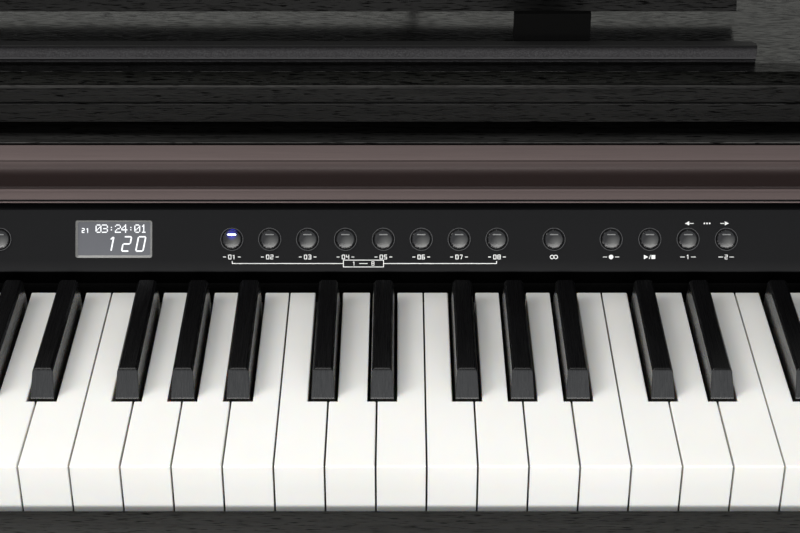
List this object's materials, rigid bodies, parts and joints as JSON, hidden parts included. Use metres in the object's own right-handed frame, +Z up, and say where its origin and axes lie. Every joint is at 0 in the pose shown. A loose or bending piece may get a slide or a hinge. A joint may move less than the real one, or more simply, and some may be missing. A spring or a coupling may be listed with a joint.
{
  "type": "digital piano",
  "caption": "Console digital piano in black wood-grain: weighted keyboard, tilted control strip with a display, sliding key cover, folding music desk and pedals on leg frames.",
  "frame": {"origin": "on the floor, under the middle of the cabinet", "axes": "+X to the player's right along the keyboard, +Y towards the back of the piano, +Z up"},
  "size_m": [1.38, 0.5, 1.0207],
  "materials": {
    "black_wood": "satin black stained wood with open grain",
    "slip_wood": "satin charcoal stained wood with fine grain",
    "top_wood": "satin grey-black wood with open grain",
    "back_board": "matte black board",
    "bronze_rail": "satin bronze anodised",
    "panel_plastic": "fine satin charcoal",
    "grey_plastic": "matte",
    "black_plastic": "matte",
    "button_plastic": "dark translucent",
    "display_glass": "clear window",
    "white_key": "glossy ivory white",
    "black_key": "satin black",
    "ledge_metal": "fine textured dark grey",
    "grille_metal": "satin black",
    "steel": "plain",
    "pedal_brass": "polished",
    "circuit_board": "green board",
    "speaker_parts": "black"
  },
  "bodies": {
    "cabinet": {"side_panels": "black_wood", "leg_frames": "black_wood", "back_boards": "back_board", "pedal_rail": "black_wood", "floor_glides": "black_plastic", "fasteners": "steel", "key_bed": "back_board", "cheek_blocks": "black_wood", "key_slip": "slip_wood", "top_board": "top_wood", "top_fascia": "black_wood", "cover_tracks": "grey_plastic", "control_panel": "panel_plastic", "display_window": "display_glass", "key_chassis": "grey_plastic", "circuit_boards": "circuit_board", "speakers": "speaker_parts", "speaker_grilles": "grille_metal", "socket_panels": "black_plastic", "music_ledge": "ledge_metal", "desk_brackets": "black_plastic"},
    "key_cover": {"cover_rail": "bronze_rail", "cover_panel": "black_wood"},
    "key_c5": {"key_c5": "white_key"},
    "key_d5": {"key_d5": "white_key"},
    "key_e5": {"key_e5": "white_key"},
    "key_f5": {"key_f5": "white_key"},
    "key_g5": {"key_g5": "white_key"},
    "key_a5": {"key_a5": "white_key"},
    "key_b5": {"key_b5": "white_key"},
    "key_c_sharp5": {"key_c_sharp5": "black_key"},
    "key_d_sharp5": {"key_d_sharp5": "black_key"},
    "key_f_sharp5": {"key_f_sharp5": "black_key"},
    "key_g_sharp5": {"key_g_sharp5": "black_key"},
    "key_a_sharp5": {"key_a_sharp5": "black_key"},
    "other_white_keys": {"other_white_keys": "white_key"},
    "other_black_keys": {"other_black_keys": "black_key"},
    "voice_button_1": {"voice_button_1": "button_plastic"},
    "voice_button_2": {"voice_button_2": "button_plastic"},
    "voice_button_3": {"voice_button_3": "button_plastic"},
    "voice_button_4": {"voice_button_4": "button_plastic"},
    "voice_button_5": {"voice_button_5": "button_plastic"},
    "voice_button_6": {"voice_button_6": "button_plastic"},
    "voice_button_7": {"voice_button_7": "button_plastic"},
    "voice_button_8": {"voice_button_8": "button_plastic"},
    "duo_button": {"duo_button": "button_plastic"},
    "record_button": {"record_button": "button_plastic"},
    "play_button": {"play_button": "button_plastic"},
    "track_1_button": {"track_1_button": "button_plastic"},
    "track_2_button": {"track_2_button": "button_plastic"},
    "value_button": {"value_button": "button_plastic"},
    "cover_shaft": {"cover_shaft": "steel"},
    "music_desk": {"music_desk": "black_wood"},
    "desk_stay": {"desk_stay": "steel"},
    "page_clips": {"page_clips": "black_plastic"},
    "power_volume_knob": {"power_volume_knob": "button_plastic"},
    "left_pedal": {"left_pedal": "pedal_brass"},
    "middle_pedal": {"middle_pedal": "pedal_brass"},
    "right_pedal": {"right_pedal": "pedal_brass"},
    "pedal_adjuster": {"pedal_adjuster": "black_plastic"}
  },
  "joints": [
    {"name": "cover_travel", "type": "hinge", "parent": "cabinet", "child": "key_cover", "pos_m": [0, 0.352, -1.408], "axis": [1, 0, 0], "range_deg": [0, 5.3]},
    {"name": "cover_shaft_roll", "type": "hinge", "parent": "key_cover", "child": "cover_shaft", "pos_m": [0, 0.21117, 0.81194], "axis": [1, 0, 0], "range_deg": [0, 1310]},
    {"name": "desk_fold", "type": "hinge", "parent": "cabinet", "child": "music_desk", "pos_m": [0, 0.0596, 0.84825], "axis": [-1, 0, 0], "range_deg": [0, 73]},
    {"name": "stay_fold", "type": "hinge", "parent": "cabinet", "child": "desk_stay", "pos_m": [0, 0.1264, 0.842], "axis": [-1, 0, 0], "range_deg": [0, 116]},
    {"name": "page_clips_fold", "type": "hinge", "parent": "cabinet", "child": "page_clips", "pos_m": [0, 0.007, 0.8414], "axis": [-1, 0, 0], "range_deg": [0, 90]},
    {"name": "knob_turn", "type": "hinge", "parent": "cabinet", "child": "power_volume_knob", "pos_m": [-0.33, -0.05452, 0.75877], "axis": [0, -0.848, 0.5299], "range_deg": [-135, 135]},
    {"name": "left_pedal_press", "type": "hinge", "parent": "cabinet", "child": "left_pedal", "pos_m": [-0.075, 0.08, 0.09], "axis": [1, 0, 0], "range_deg": [0, 5], "stiffness_Nm_per_rad": 6, "springref_deg": -8.59},
    {"name": "middle_pedal_press", "type": "hinge", "parent": "cabinet", "child": "middle_pedal", "pos_m": [0, 0.08, 0.09], "axis": [1, 0, 0], "range_deg": [0, 5], "stiffness_Nm_per_rad": 6, "springref_deg": -8.59},
    {"name": "right_pedal_press", "type": "hinge", "parent": "cabinet", "child": "right_pedal", "pos_m": [0.075, 0.08, 0.09], "axis": [1, 0, 0], "range_deg": [0, 5], "stiffness_Nm_per_rad": 6, "springref_deg": -8.59},
    {"name": "adjuster_raise", "type": "slide", "parent": "cabinet", "child": "pedal_adjuster", "axis": [0, 0, 1], "range_m": [0, 0.01]},
    {"name": "key_c5_press", "type": "hinge", "parent": "cabinet", "child": "key_c5", "pos_m": [0, 0.002, 0.723], "axis": [1, 0, 0], "range_deg": [0, 2.6], "stiffness_Nm_per_rad": 1.5, "springref_deg": -6.88},
    {"name": "key_d5_press", "type": "hinge", "parent": "cabinet", "child": "key_d5", "pos_m": [0, 0.002, 0.723], "axis": [1, 0, 0], "range_deg": [0, 2.6], "stiffness_Nm_per_rad": 1.5, "springref_deg": -6.88},
    {"name": "key_e5_press", "type": "hinge", "parent": "cabinet", "child": "key_e5", "pos_m": [0, 0.002, 0.723], "axis": [1, 0, 0], "range_deg": [0, 2.6], "stiffness_Nm_per_rad": 1.5, "springref_deg": -6.88},
    {"name": "key_f5_press", "type": "hinge", "parent": "cabinet", "child": "key_f5", "pos_m": [0, 0.002, 0.723], "axis": [1, 0, 0], "range_deg": [0, 2.6], "stiffness_Nm_per_rad": 1.5, "springref_deg": -6.88},
    {"name": "key_g5_press", "type": "hinge", "parent": "cabinet", "child": "key_g5", "pos_m": [0, 0.002, 0.723], "axis": [1, 0, 0], "range_deg": [0, 2.6], "stiffness_Nm_per_rad": 1.5, "springref_deg": -6.88},
    {"name": "key_a5_press", "type": "hinge", "parent": "cabinet", "child": "key_a5", "pos_m": [0, 0.002, 0.723], "axis": [1, 0, 0], "range_deg": [0, 2.6], "stiffness_Nm_per_rad": 1.5, "springref_deg": -6.88},
    {"name": "key_b5_press", "type": "hinge", "parent": "cabinet", "child": "key_b5", "pos_m": [0, 0.002, 0.723], "axis": [1, 0, 0], "range_deg": [0, 2.6], "stiffness_Nm_per_rad": 1.5, "springref_deg": -6.88},
    {"name": "key_c_sharp5_press", "type": "hinge", "parent": "cabinet", "child": "key_c_sharp5", "pos_m": [0, 0.002, 0.723], "axis": [1, 0, 0], "range_deg": [0, 2.6], "stiffness_Nm_per_rad": 1.2, "springref_deg": -5.16},
    {"name": "key_d_sharp5_press", "type": "hinge", "parent": "cabinet", "child": "key_d_sharp5", "pos_m": [0, 0.002, 0.723], "axis": [1, 0, 0], "range_deg": [0, 2.6], "stiffness_Nm_per_rad": 1.2, "springref_deg": -5.16},
    {"name": "key_f_sharp5_press", "type": "hinge", "parent": "cabinet", "child": "key_f_sharp5", "pos_m": [0, 0.002, 0.723], "axis": [1, 0, 0], "range_deg": [0, 2.6], "stiffness_Nm_per_rad": 1.2, "springref_deg": -5.16},
    {"name": "key_g_sharp5_press", "type": "hinge", "parent": "cabinet", "child": "key_g_sharp5", "pos_m": [0, 0.002, 0.723], "axis": [1, 0, 0], "range_deg": [0, 2.6], "stiffness_Nm_per_rad": 1.2, "springref_deg": -5.16},
    {"name": "key_a_sharp5_press", "type": "hinge", "parent": "cabinet", "child": "key_a_sharp5", "pos_m": [0, 0.002, 0.723], "axis": [1, 0, 0], "range_deg": [0, 2.6], "stiffness_Nm_per_rad": 1.2, "springref_deg": -5.16},
    {"name": "other_white_keys_press", "type": "hinge", "parent": "cabinet", "child": "other_white_keys", "pos_m": [0, 0.002, 0.723], "axis": [1, 0, 0], "range_deg": [0, 2.6], "stiffness_Nm_per_rad": 67, "springref_deg": -6.88},
    {"name": "other_black_keys_press", "type": "hinge", "parent": "cabinet", "child": "other_black_keys", "pos_m": [0, 0.002, 0.723], "axis": [1, 0, 0], "range_deg": [0, 2.6], "stiffness_Nm_per_rad": 37, "springref_deg": -5.16},
    {"name": "voice_button_1_press", "type": "slide", "parent": "cabinet", "child": "voice_button_1", "axis": [0, 0.848, -0.5299], "range_m": [0, 0.001], "stiffness_N_per_m": 300, "springref_m": -0.002},
    {"name": "voice_button_2_press", "type": "slide", "parent": "cabinet", "child": "voice_button_2", "axis": [0, 0.848, -0.5299], "range_m": [0, 0.001], "stiffness_N_per_m": 300, "springref_m": -0.002},
    {"name": "voice_button_3_press", "type": "slide", "parent": "cabinet", "child": "voice_button_3", "axis": [0, 0.848, -0.5299], "range_m": [0, 0.001], "stiffness_N_per_m": 300, "springref_m": -0.002},
    {"name": "voice_button_4_press", "type": "slide", "parent": "cabinet", "child": "voice_button_4", "axis": [0, 0.848, -0.5299], "range_m": [0, 0.001], "stiffness_N_per_m": 300, "springref_m": -0.002},
    {"name": "voice_button_5_press", "type": "slide", "parent": "cabinet", "child": "voice_button_5", "axis": [0, 0.848, -0.5299], "range_m": [0, 0.001], "stiffness_N_per_m": 300, "springref_m": -0.002},
    {"name": "voice_button_6_press", "type": "slide", "parent": "cabinet", "child": "voice_button_6", "axis": [0, 0.848, -0.5299], "range_m": [0, 0.001], "stiffness_N_per_m": 300, "springref_m": -0.002},
    {"name": "voice_button_7_press", "type": "slide", "parent": "cabinet", "child": "voice_button_7", "axis": [0, 0.848, -0.5299], "range_m": [0, 0.001], "stiffness_N_per_m": 300, "springref_m": -0.002},
    {"name": "voice_button_8_press", "type": "slide", "parent": "cabinet", "child": "voice_button_8", "axis": [0, 0.848, -0.5299], "range_m": [0, 0.001], "stiffness_N_per_m": 300, "springref_m": -0.002},
    {"name": "duo_button_press", "type": "slide", "parent": "cabinet", "child": "duo_button", "axis": [0, 0.848, -0.5299], "range_m": [0, 0.001], "stiffness_N_per_m": 300, "springref_m": -0.002},
    {"name": "record_button_press", "type": "slide", "parent": "cabinet", "child": "record_button", "axis": [0, 0.848, -0.5299], "range_m": [0, 0.001], "stiffness_N_per_m": 300, "springref_m": -0.002},
    {"name": "play_button_press", "type": "slide", "parent": "cabinet", "child": "play_button", "axis": [0, 0.848, -0.5299], "range_m": [0, 0.001], "stiffness_N_per_m": 300, "springref_m": -0.002},
    {"name": "track_1_button_press", "type": "slide", "parent": "cabinet", "child": "track_1_button", "axis": [0, 0.848, -0.5299], "range_m": [0, 0.001], "stiffness_N_per_m": 300, "springref_m": -0.002},
    {"name": "track_2_button_press", "type": "slide", "parent": "cabinet", "child": "track_2_button", "axis": [0, 0.848, -0.5299], "range_m": [0, 0.001], "stiffness_N_per_m": 300, "springref_m": -0.002},
    {"name": "value_button_press", "type": "slide", "parent": "cabinet", "child": "value_button", "axis": [0, 0.848, -0.5299], "range_m": [0, 0.001], "stiffness_N_per_m": 300, "springref_m": -0.002}
  ],
  "couplings": [
    {"joint": "cover_shaft_roll", "follows": "cover_travel", "ratio": 246.16},
    {"joint": "stay_fold", "follows": "desk_fold", "ratio": 1.5753}
  ]
}
